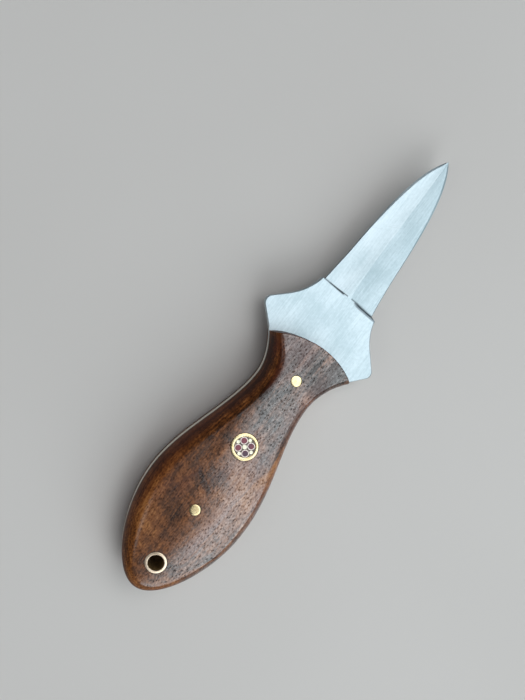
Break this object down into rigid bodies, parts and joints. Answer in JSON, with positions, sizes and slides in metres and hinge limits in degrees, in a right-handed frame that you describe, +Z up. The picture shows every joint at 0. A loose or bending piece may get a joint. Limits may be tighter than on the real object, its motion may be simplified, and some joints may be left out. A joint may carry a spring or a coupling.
{
  "type": "oyster knife",
  "caption": "Hand-made full-tang oyster knife: short spear-point blade with a winged guard, contoured wooden handle scales, brass pins, a mosaic pin and a lanyard tube.",
  "frame": {"origin": "middle of the knife's length and width, on the surface that the lower scale lies on", "axes": "+X from the butt to the point, +Y across the blade, +Z up through the scales"},
  "size_m": [0.1524, 0.0384, 0.0188],
  "materials": {
    "steel": "satin ground",
    "wood": "oiled, satin",
    "epoxy": "cured glue",
    "brass": "polished flush",
    "pale_brass": "polished flush",
    "dark_red": "polished flush",
    "resin": "polished flush"
  },
  "bodies": {
    "root": {"blade": "steel", "upper_scale": "wood", "lower_scale": "wood", "upper_bond": "epoxy", "lower_bond": "epoxy", "guard_pin": "brass", "palm_pin": "brass", "lanyard_tube": "brass", "mosaic_tube": "brass", "mosaic_resin": "resin", "mosaic_centre_rod": "pale_brass", "mosaic_outer_rod_1": "pale_brass", "mosaic_outer_rod_2": "pale_brass", "mosaic_outer_rod_3": "pale_brass", "mosaic_outer_rod_4": "pale_brass", "mosaic_sleeve_1": "pale_brass", "mosaic_sleeve_2": "pale_brass", "mosaic_sleeve_3": "pale_brass", "mosaic_sleeve_4": "pale_brass", "mosaic_core_1": "dark_red", "mosaic_core_2": "dark_red", "mosaic_core_3": "dark_red", "mosaic_core_4": "dark_red"}
  },
  "joints": []
}
